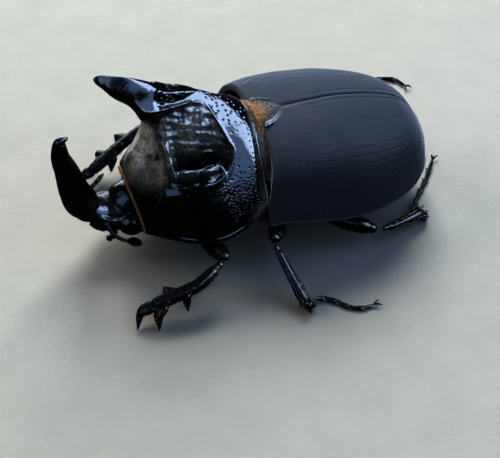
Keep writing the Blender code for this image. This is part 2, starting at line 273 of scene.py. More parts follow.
# %% Noise and distance
def lumps(points, size, seed):
    """Smooth random value from about -1 to 1, with waves of that size in mm."""
    rng = np.random.default_rng(seed)
    total = 0
    for _ in range(9):
        direction = rng.normal(size=3)
        direction *= 2 * math.pi / size / np.linalg.norm(direction) * rng.uniform(0.6, 1.3)
        total = total + np.cos(points @ direction + rng.uniform(0, 2 * math.pi))
    return total / 4.2


def pits(points, size, seed):
    """Distance in mm from each point, in two or three axes, to the nearest pit of a jittered lattice."""
    axes = points.shape[1]
    cell = np.floor(points / size)
    best = np.full(len(points), 9.0)
    mixer = np.array([[127.1, 269.5, 419.2], [311.7, 183.3, 371.9], [74.7, 246.1, 168.2]])[:axes, :axes]
    for offset in np.ndindex(*[3] * axes):
        corner = cell + np.array(offset) - 1
        jitter = np.modf(np.abs(np.sin(corner @ mixer + seed) * 43758.5453))[0]
        best = np.minimum(best, np.linalg.norm(points - (corner + 0.15 + 0.7 * jitter) * size, axis=1))
    return best


def near(line, points):
    """Distance in mm from each point to a line given by its points."""
    line = np.asarray(line, float)
    fine = []
    for a, b in zip(line[:-1], line[1:]):
        count = max(2, int(np.linalg.norm(b - a) / 0.08))
        fine += [a + (b - a) * t for t in np.linspace(0, 1, count, endpoint=False)]
    tree = kdtree.KDTree(len(fine))
    for i, point in enumerate(fine):
        tree.insert(point, i)
    tree.balance()
    return np.array([tree.find(point)[2] for point in points])


print("lumps at two places:", lumps(np.array([[0, 0, 0], [3, 1, 2.0]]), 4, 1).round(2))

# %% [markdown]
# ## Finishes
# The whole animal is chitin, a hard natural polymer. Its index of refraction is near 1.56, and a skin
# of wax brings that down to 1.48 here. What changes is how its surface grew: polished like lacquer on
# the horns, pricked with small pits on the shield, and covered with a fine velvety bloom on the wing
# cases. Patterns are set by their real size in millimetres. A size below about a tenth of a millimetre
# is drawn a little coarser than life, so that it still shows.


# %% Colours and nodes
def srgb(code):
    """A hex colour as linear RGBA."""
    parts = [int(code[i:i + 2], 16) / 255 for i in (1, 3, 5)]
    return (*[p / 12.92 if p <= 0.04045 else ((p + 0.055) / 1.055) ** 2.4 for p in parts], 1.0)


class Finish:
    """A material with patterns sized in millimetres. A colour is a hex code or a node's output."""

    def __init__(self, name, **numbers):
        self.material = bpy.data.materials.new(name)
        self.material.use_nodes = True
        self.tree = self.material.node_tree
        self.shader = self.tree.nodes["Principled BSDF"]
        for key, value in numbers.items():
            self.shader.inputs[key.replace("_", " ")].default_value = value
        self.place = self.add("TexCoord")["Object"]

    def add(self, kind, inputs=(), **settings):
        """Outputs of a new node. Inputs, in order or by name, are values, hex colours or outputs."""
        node = self.tree.nodes.new("ShaderNode" + kind)
        for key, value in settings.items():
            setattr(node, key, value)
        for key, value in inputs.items() if isinstance(inputs, dict) else enumerate(inputs):
            if isinstance(value, bpy.types.NodeSocket):
                self.tree.links.new(value, node.inputs[key])
            else:
                node.inputs[key].default_value = srgb(value) if isinstance(value, str) else value
        return node.outputs

    def sized(self, size, **more):
        """Inputs that lay a texture over the piece, with features of that size in mm."""
        return {"Vector": self.place, "Scale": 1.0 / (size * MM), **more}

    def feed(self, **outputs):
        """Links outputs to the inputs of the shader."""
        for key, value in outputs.items():
            self.tree.links.new(value, self.shader.inputs[key.replace("_", " ")])


CHITIN_IOR = 1.48
print("black of polished chitin, linear:", [round(c, 4) for c in srgb("#0b0a0a")[:3]])


# %% Polished chitin, for the horns, shield and limbs
def polished_chitin(name, dark, warm, gloss, dull, level):
    """Hard shell with a skin of wax. An attribute named matt, from 0 to 1, roughens it and pales it in
    patches, which are dust on the shield's front and painted sheen in its hollows.
    """
    shell = Finish(name, IOR=CHITIN_IOR, Specular_IOR_Level=level)
    matt = shell.add("Attribute", attribute_name="matt")["Fac"]
    mottle = shell.add("TexNoise", shell.sized(0.35, Detail=3.0))["Fac"]
    cloud = shell.add("TexNoise", shell.sized(2.2, Detail=3.0))["Fac"]
    cloud = shell.add("MapRange", (cloud, 0.3, 0.62))["Result"]
    # The paler patches: dust on the shield's front bulge, and a painted grey sheen on the far walls of its
    # hollows.
    patches = shell.add("MapRange", (mottle, 0.2, 0.6))["Result"]
    patches = shell.add("Math", (cloud, patches), operation="MULTIPLY", use_clamp=True)[0]
    dust_and_painted_sheen = shell.add("Math", (matt, patches), operation="MULTIPLY", use_clamp=True)[0]
    tone = shell.add("Mix", {0: dust_and_painted_sheen, 6: dark, 7: warm}, data_type="RGBA")[2]
    even = shell.add("MapRange", (matt, 0.0, 1.0, gloss, dull))["Result"]
    uneven = shell.add("MapRange", (mottle, 0.3, 0.7, -0.05, 0.09))["Result"]
    rough = shell.add("Math", (even, uneven), operation="ADD", use_clamp=True)[0]
    wave = shell.add("TexNoise", shell.sized(1.1))["Fac"]
    wave = shell.add("Bump", {"Height": wave, "Distance": 0.035 * MM})["Normal"]
    grain = shell.add("TexNoise", shell.sized(0.16))["Fac"]
    grain = shell.add("Bump", {"Height": grain, "Distance": 0.012 * MM, "Normal": wave})["Normal"]
    shell.feed(Base_Color=tone, Roughness=rough, Normal=grain)
    return shell


# The shield's pale tone serves for dust and for the painted sheen in the hollows.
SHIELD = polished_chitin("polished_black_chitin", "#080707", "#a6a6a2", 0.09, 0.42, 0.38)
LIMB = polished_chitin("pitted_limb_chitin", "#0a0909", "#241a14", 0.25, 0.45, 0.2)
HEAD = polished_chitin("polished_head_chitin", "#080707", "#2a1d15", 0.15, 0.4, 0.38)
print("made", SHIELD.material.name, LIMB.material.name, "and", HEAD.material.name)

# %% Velvety chitin, for the wing cases
VELVET = Finish("velvety_wing_case_chitin", IOR=CHITIN_IOR, Specular_IOR_Level=0.04, Sheen_Weight=0.6,
                Sheen_Roughness=0.35, Sheen_Tint=srgb("#b4c4da"))
cloud = VELVET.add("TexNoise", VELVET.sized(5.0, Detail=3.0))["Fac"]
cloud = VELVET.add("MapRange", (cloud, 0.3, 0.7))["Result"]
bloom = VELVET.add("Mix", {0: cloud, 6: "#333c48", 7: "#393e46"}, data_type="RGBA")[2]
speck = VELVET.add("TexVoronoi", VELVET.sized(1.1))["Distance"]
speck = VELVET.add("MapRange", (speck, 0.085, 0.06))["Result"]
rare = VELVET.add("TexNoise", VELVET.sized(1.3))["Fac"]
rare = VELVET.add("MapRange", (rare, 0.58, 0.62))["Result"]
speck = VELVET.add("Math", (speck, rare), operation="MULTIPLY", use_clamp=True)[0]
tone = VELVET.add("Mix", {0: speck, 6: bloom, 7: "#77746e"}, data_type="RGBA")[2]
rough = VELVET.add("TexNoise", VELVET.sized(0.5, Detail=3.0))["Fac"]
rough = VELVET.add("MapRange", (rough, 0.3, 0.7, 0.42, 0.56))["Result"]
pores = VELVET.add("TexVoronoi", VELVET.sized(0.3))["Distance"]
pores = VELVET.add("MapRange", (pores, 0.0, 0.35))["Result"]
pores = VELVET.add("Bump", {"Height": pores, "Distance": 0.02 * MM})["Normal"]
nap = VELVET.add("TexNoise", VELVET.sized(0.12, Detail=3.0))["Fac"]
nap = VELVET.add("Bump", {"Height": nap, "Distance": 0.012 * MM, "Normal": pores})["Normal"]
VELVET.feed(Base_Color=tone, Roughness=rough, Normal=nap)
print("made", VELVET.material.name)

# %% Satin chitin, for the scutellum
SATIN = Finish("satin_black_chitin", IOR=CHITIN_IOR, Sheen_Weight=0.15)
cloud = SATIN.add("TexNoise", SATIN.sized(1.2, Detail=3.0))["Fac"]
tone = SATIN.add("Mix", {0: cloud, 6: "#101113", 7: "#1f1e1c"}, data_type="RGBA")[2]
rough = SATIN.add("MapRange", (cloud, 0.3, 0.7, 0.24, 0.36))["Result"]
grain = SATIN.add("TexNoise", SATIN.sized(0.25, Detail=3.0))["Fac"]
grain = SATIN.add("Bump", {"Height": grain, "Distance": 0.015 * MM})["Normal"]
SATIN.feed(Base_Color=tone, Roughness=rough, Normal=grain)
print("made", SATIN.material.name)

# %% Brown chitin, eye facets, hair and soft skin
BROWN = Finish("brown_underside_chitin", IOR=CHITIN_IOR)
cloud = BROWN.add("TexNoise", BROWN.sized(3.0, Detail=4.0))["Fac"]
tone = BROWN.add("MapRange", (cloud, 0.3, 0.7))["Result"]
tone = BROWN.add("Mix", {0: tone, 6: "#1c0d08", 7: "#4d2413"}, data_type="RGBA")[2]
rough = BROWN.add("MapRange", (cloud, 0.3, 0.7, 0.25, 0.45))["Result"]
pores = BROWN.add("TexVoronoi", BROWN.sized(0.4))["Distance"]
pores = BROWN.add("MapRange", (pores, 0.0, 0.3))["Result"]
pores = BROWN.add("Bump", {"Height": pores, "Distance": 0.04 * MM})["Normal"]
BROWN.feed(Base_Color=tone, Roughness=rough, Normal=pores)

FACETS = Finish("eye_facet_lens", IOR=1.5, Roughness=0.12)
facet = FACETS.add("TexVoronoi", FACETS.sized(0.07))["Distance"]
tone = FACETS.add("MapRange", (facet, 0.2, 0.6))["Result"]
tone = FACETS.add("Mix", {0: tone, 6: "#120c0a", 7: "#2a1a14"}, data_type="RGBA")[2]
dome = FACETS.add("MapRange", (facet, 0.0, 0.6, 1.0, 0.0))["Result"]
dome = FACETS.add("Bump", {"Height": dome, "Distance": 0.015 * MM})["Normal"]
FACETS.feed(Base_Color=tone, Normal=dome)

HAIR = Finish("golden_brown_hair", IOR=1.55, Roughness=0.38)
shade = HAIR.add("Attribute", attribute_name="shade")["Fac"]
strand = HAIR.add("Mix", {0: shade, 6: "#75501f", 7: "#e8bd6c"}, data_type="RGBA")[2]
stain = HAIR.add("TexNoise", HAIR.sized(0.4))["Fac"]
stain = HAIR.add("MapRange", (stain, 0.35, 0.7))["Result"]
tone = HAIR.add("Mix", {0: stain, 6: strand, 7: "#9c6a2e"}, data_type="RGBA")[2]
HAIR.feed(Base_Color=tone)

SOFT = Finish("leathery_joint_skin", IOR=1.45, Roughness=0.55)
crease = SOFT.add("TexNoise", SOFT.sized(0.5, Detail=4.0))["Fac"]
tone = SOFT.add("Mix", {0: crease, 6: "#1a100a", 7: "#33200f"}, data_type="RGBA")[2]
crease = SOFT.add("Bump", {"Height": crease, "Distance": 0.05 * MM})["Normal"]
SOFT.feed(Base_Color=tone, Normal=crease)
print("made", *[finish.material.name for finish in (BROWN, FACETS, HAIR, SOFT)])


# %% Putting a piece in its place
def dress(obj, name, finish, slot, *nodes):
    """Names a piece, moves it into the solids' frame, gives it its finish and hangs it on the root; it
    hides the solids that it replaces.
    """
    obj.name = obj.data.name = name
    set_coords(obj, (coords(obj) + ORIGIN) * MM)
    obj.data.materials.clear()
    obj.data.materials.append(finish.material)
    obj.data.polygons.foreach_set("use_smooth", [True] * len(obj.data.polygons))
    obj.data.update()
    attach(obj, "root")
    if nodes:
        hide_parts(*nodes)
    print(f"{name}: {len(obj.data.polygons)} faces")
    return obj


def mark(obj, name, values):
    """Keeps a number per point for a material to read."""
    layer = obj.data.attributes.new(name, "FLOAT", "POINT")
    layer.data.foreach_set("value", np.asarray(values, np.float32))


# %% [markdown]
# ## The shield and its horn
# On the real beetle the thorax shield and the horn on it are one moulded plate. It is an arch with a
# keel, and on each side of the keel the plate sinks into a deep polished hollow with a sharp rim. A
# height over the floor plan describes the arch and hollows well, but not the horn, which overhangs. So
# the arch and the horn are made apart and melted into one skin, and then the rim, the bead along the
# margins and the pits are carved.
#
# Inside the hollow, a narrow step lies along the outer rim and a low lip closes it in front. The wall
# towards the keel is a gentle wavy slope, and the outer wall is steep. Below the hollow a fold runs
# forward over the flank.

# %% The shield's curves
# The first three give a half-width or a height at each y. The hollow's rim is a line of (x, y) points.
WIDTH = [(-19.1, 6.2), (-17.7, 7.0), (-14.5, 9.2), (-11.0, 11.5), (-8.0, 12.1), (-4.0, 11.6), (0.0, 10.6)]
EDGE = [(-19.1, 6.8), (-14.5, 6.9), (-11.0, 7.3), (-8.0, 7.3), (-4.5, 7.9), (-2.5, 9.0), (0.0, 10.5)]
CREST = [(-19.1, 11.2), (-18.6, 13.0), (-17.4, 15.2), (-16.2, 17.0), (-15.3, 19.2), (-14.4, 21.8),
         (-13.0, 23.8), (-10.5, 24.5), (-7.6, 23.8), (-5.0, 22.3), (-2.5, 20.7), (0.0, 18.4)]
SHIELD_LENGTH = (shield_high.y - shield_low.y) / MM
HOLLOW = [(1.45, -9.6), (1.3, -7.4), (2.1, -6.5), (3.55, -5.6), (5.1, -4.8), (5.9, -4.3), (6.75, -4.65),
          (7.75, -5.7), (8.55, -7.6), (8.65, -9.4), (8.4, -11.1), (7.4, -13.1), (6.3, -13.75),
          (4.4, -13.8), (2.8, -13.9), (1.6, -12.9)]
print("shield length from the solid, mm:", round(SHIELD_LENGTH, 2))


def arch(x, y):
    """Height of the plain arched plate over the floor."""
    s = np.minimum(1, np.abs(x) / through(WIDTH, y))
    edge, crest = through(EDGE, y), through(CREST, y)
    back = step(-6.0, 0.0, y)
    power = 1.15 + 0.85 * back + 0.2 * step(-13.0, -19.0, y)
    return edge + (crest - edge) * (1 - s ** power) ** (0.75 + 0.25 * back)


def rim_line(knots, per_span=8):
    """A closed smooth curve through the knots."""
    knots = np.array(knots)
    before, after, beyond = np.roll(knots, 1, 0), np.roll(knots, -1, 0), np.roll(knots, -2, 0)
    t = (np.arange(per_span) / per_span)[None, :, None]
    a, b, c, d = (k[:, None, :] for k in (before, knots, after, beyond))
    square, cube = 2 * a - 5 * b + 4 * c - d, 3 * b - a - 3 * c + d
    return (0.5 * (2 * b + (c - a) * t + square * t ** 2 + cube * t ** 3)).reshape(-1, 2)


def from_segment(a, b, x, y):
    """Distance in mm to the segment from a to b on the floor plan, and the place along it, 0 to 1."""
    run = b - a
    t = np.clip(((x - a[0]) * run[0] + (y - a[1]) * run[1]) / (run @ run), 0, 1)
    return np.hypot(x - a[0] - t * run[0], y - a[1] - t * run[1]), t


def inside(line, x, y):
    """Distance in mm to a closed line on the floor plan, positive inside it."""
    best, within = np.full(x.shape, 1e9), np.zeros(x.shape, bool)
    for a, b in zip(line, np.roll(line, -1, 0)):
        best = np.minimum(best, from_segment(a, b, x, y)[0])
        crosses = (a[1] > y) != (b[1] > y)
        within ^= crosses & (x < a[0] + (y - a[1]) * (b[0] - a[0]) / ((b[1] - a[1]) or 1e-9))
    return np.where(within, best, -best)


def from_line(line, x, y):
    """Distance in mm to an open line on the floor plan, and the place along it, from 0 to 1."""
    line = np.array(line)
    best, place = np.full(x.shape, 1e9), np.zeros(x.shape)
    for i, (a, b) in enumerate(zip(line[:-1], line[1:])):
        away, t = from_segment(a, b, x, y)
        place = np.where(away < best, (i + t) / (len(line) - 1), place)
        best = np.minimum(best, away)
    return best, place


# %% The hollows, and the fold below them
RIM = rim_line(HOLLOW)
HOLLOW_FLOOR = 13.7
LEDGE_WIDTH, LEDGE_DROP = 1.35, 0.6
# The lip is a line of (x, y) points, and the fold's crest gives an x at each y
LIP = [(3.9, -13.4), (4.4, -13.5), (5.0, -13.5), (5.7, -13.3), (6.3, -13.0), (6.9, -12.5)]
FOLD = [(-16.2, 6.5), (-14.8, 7.45), (-13.6, 8.1), (-12.6, 8.56), (-11.5, 8.97)]


def from_fold(x, y):
    """Distance in mm from the crest of the fold, positive towards the keel, and the place along it."""
    return 0.85 * (through(FOLD, y) - x), np.clip((y - FOLD[0][0]) / (FOLD[-1][0] - FOLD[0][0]), 0, 1)


def hollow(x, y, plain):
    """The plain height with a hollow sunk in it: a ledge along the outer rim, walls and a floor."""
    depth = inside(RIM, x, y)
    ledge = step(6.2, 7.1, x) * step(-13.3, -12.3, y) * step(-5.7, -6.7, y)
    deep = depth - LEDGE_WIDTH * ledge
    wall_run = 1.6 + 1.9 * step(-11.5, -13.5, y) - 0.5 * ledge
    t = np.clip(deep / wall_run, 0, 1)
    sharp, soft, gentle = 1 - (1 - t) ** 2.2, t * t * (3 - 2 * t), step(-11.8, -13.0, y)
    wall = (sharp + (soft - sharp) * gentle) * (0.12 + 0.88 * step(2.9, 4.7, x))
    floor = HOLLOW_FLOOR + 0.1 * (x - 5.2) ** 2 + 0.9 * step(5.2, 3.2, x)
    sunk = plain - LEDGE_DROP * ledge * step(0.0, 0.4, depth)
    sunk = sunk + (np.minimum(sunk, floor) - sunk) * wall
    ledge_edge = 0.34 * ledge * bump(-0.2, 0.34, deep)
    crease_place = x - 1.5 - 0.85 * (-6.6 - y)
    crease = 0.3 * bump(0.0, 0.3, crease_place) * step(0.1, 0.6, depth) * step(-8.6, -7.6, y)
    rim = 0.13 * bump(-0.12, 0.2, depth) * step(1.4, 2.4, x)
    away, place = from_line(LIP, x, y)
    lip = 0.42 * bump(0.0, 0.6, away) * np.sin(math.pi * place) ** 0.5
    return sunk + ledge_edge + crease + rim + lip


def shield_top(x, y):
    """Height of the plate's outer face."""
    x, y = np.broadcast_arrays(np.abs(x), y)
    away, place = from_fold(x, y)
    width = 1e-3 + np.sin(math.pi * place) ** 0.6
    rise = np.where(away > 0, np.clip(1 - away / width, 0, 1), step(-0.4, 0.0, away))
    return hollow(x, y, arch(x, y)) + (2.2 - 1.5 * place) * width * rise


print("keel above a hollow's floor, mm:", round(float(through(CREST, -10.0)) - HOLLOW_FLOOR, 1))


# %% The arched plate
def shield_section(k, angle):
    c = np.cos(angle)
    s = c * np.sqrt(np.abs(c))
    y = (0.5 - SHIELD_LENGTH) * np.sin(k * math.pi / 2) + 0 * c
    x = s * through(WIDTH, y)
    under = through(EDGE, y) - 0.5 - 1.2 * np.sqrt(1 - s * s)
    z = np.where(np.sin(angle) >= -1e-6, shield_top(x, y), under)
    bend = 1.3 * k * k * np.abs(s) ** 1.6 - 0.9 * (1 - k) ** 2 * s * s
    return x, y + bend, z


HORN_ROOT, HORN_LENGTH = -7.2, 14.25
# Along the horn: y, then the height of its back, side ridge and belly, and its half-width at the ridge
HORN = [
    (-21.45, 28.95, 28.75, 28.5, 0.1), (-21.2, 29.15, 28.6, 28.0, 0.45), (-20.6, 29.25, 28.2, 27.3, 0.8),
    (-19.0, 28.8, 26.8, 25.2, 1.15), (-17.2, 28.2, 25.5, 23.6, 1.55), (-16.4, 27.8, 24.8, 22.4, 2.1),
    (-15.5, 27.3, 23.9, 20.6, 2.7), (-14.4, 26.7, 23.7, 19.8, 2.85), (-13.2, 25.9, 23.7, 20.0, 2.75),
    (-11.9, 25.2, 23.6, 20.8, 2.45), (-10.2, 24.75, 23.4, 21.6, 2.0), (-8.8, 24.25, 23.3, 22.2, 1.4),
    (-7.2, 23.5, 23.2, 22.6, 0.4)]


def horn_section(k, angle):
    """A tent: its concave flanks run down from the back to a ridge on each side, and tuck in below it."""
    table = np.array(HORN)
    y = HORN_ROOT - HORN_LENGTH * (0.5 - 0.5 * np.cos(math.pi * k))
    top, ridge, belly, half = np.moveaxis(follow(table[:, 0], table[:, 1:], y), -1, 0)
    c, s = np.cos(angle), np.sin(angle)
    u = np.abs(c)
    flare = step(-17.8, -15.2, y)
    rounded = (np.sqrt(u * u + 0.12) - 0.3464) / (1.0583 - 0.3464)
    tent = flare * np.maximum(0, 1 - rounded) ** 1.35 + (1 - flare) * (1 - u) ** 0.9
    keel = step(-14.3, -12.8, y)
    rise = (1 - keel) * tent + keel * (1 - step(0.42, 0.72, u)) * (1 - 0.1 * u)
    z = np.where(s >= 0, ridge + (top - ridge) * rise, ridge - (ridge - belly) * np.sqrt(1 - u * u) ** 1.3)
    return half * c, y + 0 * c, z


plate = loft("plate", shield_section, 230, 400)
horn = loft("horn", horn_section, 150, 120)
shield = skin("shield", [plate, horn], 0.1, ease=3)

# %% Carving the shield: bead, pits and the uneven polish of the hollows
p = coords(shield)
x, y, z = np.abs(p[:, 0]), p[:, 1], p[:, 2]
height = z - arch(x, y)
depth = inside(RIM, x, y)
on_top = step(-1.0, -0.3, height)
on_keel = step(0.25, 0.8, height) * step(3.9, 3.5, x)
on_horn = np.clip(on_keel + step(-14.6, -15.6, y) * step(20.5, 22.0, z), 0, 1)
in_hollow = step(0.0, 0.35, depth) * (1 - on_horn)

AT_ZERO, AT_ONE = np.zeros((1, 1)), np.ones((1, 1))
down_the_side, round_the_arch = np.linspace(0, 1, 90)[:, None], np.linspace(0, math.pi, 90)[None, :]
side = np.stack(np.broadcast_arrays(*shield_section(down_the_side, AT_ZERO)), -1)[:, 0]
rear = np.stack(np.broadcast_arrays(*shield_section(AT_ZERO, round_the_arch)), -1)[0]
margin = np.minimum(near(side, np.stack([x, y, z], -1)), near(rear, p))
bead = 0.17 * bump(0.12, 0.11, margin)
bead = bead - 0.42 * step(1.6, 0.35, margin) * step(10.5, 13.5, z) * step(-6.0, -3.5, y)

across = np.hypot(x, through(CREST, y) - z) * np.sign(p[:, 0])
sheet = np.stack([across, y], -1)
outer_side = step(15.0, 13.5, z)
plain_patch = bump(6.0, 2.3, x) * bump(-3.2, 1.3, y) + 0.8 * step(-1.1, -0.4, y)
band = step(-8.3, -6.5, y) * step(0.7, 1.3, margin) * step(-0.25, -0.6, depth) * on_top * (1 - on_horn)
small = 0.1 * step(0.17, 0.08, pits(sheet, 0.78, 3)) * (1 - outer_side)
dense = 0.035 * step(0.14, 0.06, pits(sheet, 0.48, 8)) * outer_side
holes = (small * np.clip(1 - 1.3 * plain_patch, 0, 1) + dense) * band
far_wall = step(14.3, 18.0, z)
wrinkles = 0.17 * lumps(p * [0.4, 0.4, 1.5], 1.1, 5) * far_wall + 0.1 * lumps(p, 2.2, 6)
wrinkles = wrinkles + 0.035 * lumps(p, 0.55, 10) * far_wall
glitter = 0.05 * lumps(p, 0.6, 9) * step(-14.0, -12.6, y) * step(-7.0, -8.2, y)
glitter = glitter * step(24.0, 25.0, x + z)
carved = bead * on_top - holes + wrinkles * in_hollow + glitter * on_horn
push(shield, carved + 0.018 * lumps(p, 2.4, 7) * on_top)

fold_away = from_fold(x, y)[0]
front = step(-13.4, -14.8, y) * step(11.0, 16.0, z) * (1 - on_horn) * on_top
front = front * (1 - bump(0.4, 0.9, fold_away))
collar = 0.45 * step(1.6, 0.7, margin) * step(-4.5, -2.0, y)
# Matt pales the colour too: dust on the front bulge, and on the far walls of the hollows a painted grey
# sheen that stands in for reflected light.
mark(shield, "matt", np.maximum(np.maximum(front, collar), 0.85 * far_wall * in_hollow))
dress(shield, "thorax_shield_with_horn", SHIELD, "shell_black", "pronotum", "thorax_horn")

# %% [markdown]
# ## The wing cases
# Each wing case is a thin curved shell, so it is drawn as an open surface and given its thickness by
# Solidify. Its front edge rolls down into a short wall behind the shield. Beside the seam runs a fine
# furrow, and some low ribs run back over the dome: they are only a few hundredths of a millimetre high,
# but they are what gives the dull black its long soft bands.

# %% The wing cases' curves
CASE_START, CASE_END, CASE_EDGE = 0.6, 25.8, 6.2
CASE_CREST = [(0.6, 17.2), (3.0, 17.8), (7.0, 18.1), (10.5, 18.1), (14.0, 17.7), (18.0, 16.8),
              (21.0, 15.7), (23.2, 14.0), (24.6, 11.8), (25.4, 9.4), (25.8, 7.6)]
# Half-width at the widest place, that place, and the length over which it tapers to the tail
CASE_HALF, CASE_WIDEST, CASE_TAPER = 12.6, 11.5, 14.35
ROLL = 0.55


def case_width(y):
    front = CASE_HALF - 0.5 * ((CASE_WIDEST - y) / 11.0) ** 2
    back = CASE_HALF * np.sqrt(1 - (np.clip(y - CASE_WIDEST, 0, CASE_TAPER) / CASE_TAPER) ** 1.9)
    return np.where(y < CASE_WIDEST, front, back)


def case_point(k, turn, inset=0.0):
    """A point of the left wing case: k runs back, turn runs from the seam (0) down to the side (1)."""
    start = CASE_START + 0.35
    y = start + (CASE_END - start) * np.sin(k * math.pi / 2)
    angle = (1 - turn) * math.pi / 2
    c, s = np.cos(angle), np.sin(angle)
    square = 0.76 - 0.2 * (1 - step(0.0, 0.45, k))
    reach = np.maximum(0.3, case_width(y) - inset)
    low = CASE_EDGE + 1.6 * (1 - step(0.0, 0.3, k)) + 0 * y
    top = through(CASE_CREST, y) - inset
    x = 0.04 + reach * c ** square
    z = low + np.maximum(0.3, top - low) * np.clip(s, 0, 1) ** square
    shoulder = 2.2 * (1 - k) ** 3 * np.minimum(x / 12.2, 1) ** 5
    return x, y - shoulder, z


print("wing case is widest at, mm:", round(float(case_width(CASE_WIDEST)) * 2, 1))


# %% Two wing cases
RIBS, CASE_THICKNESS = 13, 0.7


def wing_case(sign):
    rows, columns, roll_rows = 230, 170, 14
    turn = np.linspace(0, 1, columns)[None, :]
    k = np.linspace(0, 1, rows)[:, None]
    x, y, z = (np.array(v) for v in np.broadcast_arrays(*case_point(k, turn)))
    bend = np.linspace(0, math.pi / 2, roll_rows)[:-1, None]
    inset = ROLL * 1.5 * (1 - np.sin(bend))
    rx, ry, rz = np.broadcast_arrays(*case_point(0 * bend, turn, inset))
    x, y, z = (np.concatenate(pair) for pair in ((rx, x), (ry - ROLL * np.cos(bend), y), (rz, z)))
    points = np.stack([x, y, z], -1).reshape(-1, 3)
    obj = new_object("wing_case", points, grid_faces(len(x), columns, False))
    x, y, turn = x.ravel(), y.ravel(), np.broadcast_to(turn, x.shape).ravel()
    along = step(5.0, 8.0, y) * step(24.0, 21.0, y)
    furrow = -0.08 * bump(1.0, 0.14, x) * along - 0.07 * bump(0.0, 0.14, x) * step(4.5, 5.5, y)
    interval = 0.04 * bump(0.5, 0.3, x) * along
    between = np.sin(math.pi * turn * RIBS) ** 2
    ribs = -0.055 * bump(0.0, 0.05, between) * step(0.1, 0.2, turn) * step(0.95, 0.8, turn)
    ribs = ribs * step(3.5, 7.0, y) * step(24.5, 19.0, y) * (0.6 + 0.4 * lumps(points, 1.6, 14))
    creases = lumps(points * [1.0, 0.35, 1.0], 1.1, 11) * bump(8.2, 2.6, x) * bump(2.6, 2.2, y)
    dents = 0.016 * lumps(points, 3.0, 12) + 0.006 * lumps(points, 0.8, 13)
    push(obj, furrow + interval + ribs + 0.03 * creases + dents)
    push(obj, 0.12 * bump(0.985, 0.012, turn) * step(2.0, 4.0, y))
    set_coords(obj, coords(obj) * [sign, 1, 1])
    if sign < 0:
        obj.data.flip_normals()
    shell = obj.modifiers.new("shell", "SOLIDIFY")
    shell.thickness = CASE_THICKNESS
    shell.offset = -1.0
    return with_modifiers_applied(obj)


for side, sign in SIDES.items():
    dress(wing_case(sign), f"wing_case_{side}", VELVET, "wing_case", f"elytron_{side}")

# %% The scutellum, a small polished plate between the wing cases
PLATE_START, PLATE_LENGTH, PLATE_MIDDLE = 0.9, 4.25, 2.3


def scutellum_point(k, angle):
    """A heart-shaped plate with a raised rim. Angle runs round it, k from its top middle out and under."""
    t = 0.5 - 0.5 * np.cos(angle)
    out = np.minimum(1, k * 2)
    x = 3.3 * (1 - t ** 1.6) ** 0.75 * np.sign(np.sin(angle)) * out
    y = PLATE_MIDDLE + (PLATE_START + PLATE_LENGTH * t - PLATE_MIDDLE) * out
    rim = 0.07 * bump(0.9, 0.035, out) + 0.05 * bump(0.76, 0.035, out) - 0.05 * bump(0.83, 0.04, out)
    under = step(0.5, 0.56, k)
    z = 17.78 + 0.045 * (y - 2.0) + 0.14 * (1 - out ** 2) + rim - 0.7 * under
    return x * (1 - 0.1 * under * k), y, z


plate = loft("scutellum_plate", scutellum_point, 110, 200)
q = coords(plate)
push(plate, 0.03 * lumps(q, 0.7, 21) * step(3.6, 2.4, q[:, 1]) * step(17.5, 17.7, q[:, 2]))
dress(plate, "scutellum_plate", SATIN, "shell_black", "scutellum")

# %% [markdown]
# ## The head
# The head is a low capsule that carries the recurved horn, with a blunt shovel in front, cheeks that
# run over the eyes like brows, and a rounded nape that slips under the shield. These are closed pieces
# melted into one skin, because on the beetle the capsule and its horn are one plate too.

# %% Head capsule and horn
capsule = [
    limb("skull", [(0, -16.2, 6.4), (0, -18.6, 6.2), (0, -21.2, 6.2), (0, -23.4, 6.9), (0, -25.4, 7.7)],
         [(3.6, 2.6), (3.4, 2.4), (2.7, 1.9), (2.3, 1.85), (1.7, 1.3)], blunt=4),
    limb("neck", [(0, -22.6, 6.6), (0, -21.3, 6.4), (0, -20.0, 6.5), (0, -18.6, 7.1), (0, -16.5, 7.6)],
         [(2.2, 1.7), (2.3, 1.65), (2.5, 1.85), (2.9, 2.4), (3.3, 2.9)], blunt=6),
    limb("shovel", [(0, -23.0, 6.4), (0, -24.6, 6.6), (0, -25.9, 7.2)],
         [(2.3, 0.8), (2.0, 0.6), (1.4, 0.4)], blunt=4),
    limb("horn", [(0, -21.6, 6.5), (0, -23.2, 7.0), (0, -24.5, 8.4), (0, -25.4, 10.8), (0, -26.15, 14.4),
                  (0, -26.85, 17.6), (0, -26.75, 19.5), (0, -25.5, 20.15)],
         [(2.4, 1.7), (2.3, 2.0), (1.9, 2.4), (1.6, 2.1), (1.3, 1.65), (1.02, 1.2), (0.85, 0.92),
          (0.42, 0.48)], rings=80, around=40),
    limb("tooth", [(0, -25.2, 12.2), (0, -23.75, 12.75)], [(0.8, 0.8), (0.3, 0.3)]),
]
for sign in (-1, 1):
    brow = [(1.9 * sign, -22.8, 6.9), (2.7 * sign, -21.6, 6.6), (3.1 * sign, -20.2, 6.5)]
    capsule.append(limb("brow", brow, [(0.5, 0.6), (0.45, 0.28), (0.28, 0.16)]))
    capsule.append(ball("cheek", (2.1 * sign, -20.6, 5.3), (1.2, 2.0, 1.2)))
    capsule.append(ball("cheekbone", (3.2 * sign, -18.3, 5.4), (1.5, 2.0, 1.7)))
head = skin("head", capsule, 0.11, ease=9, swell=0.03)
h = coords(head)
on_horn = step(9.5, 11.0, h[:, 2]) * step(-23.2, -23.8, h[:, 1])
rough = step(10.8, 9.0, h[:, 2]) * step(-19.5, -21.0, h[:, 1])
holes = step(0.2, 0.07, pits(h, 0.42, 31))
wrinkle = lumps(h * [0.5, 1.0, 1.0], 0.8, 32)
push(head, -0.01 * holes * rough + 0.004 * wrinkle * rough + 0.012 * lumps(h, 1.8, 33))
mark(head, "matt", 0.3 * rough)
dress(head, "head_with_horn", HEAD, "shell_black", "head", "head_horn")

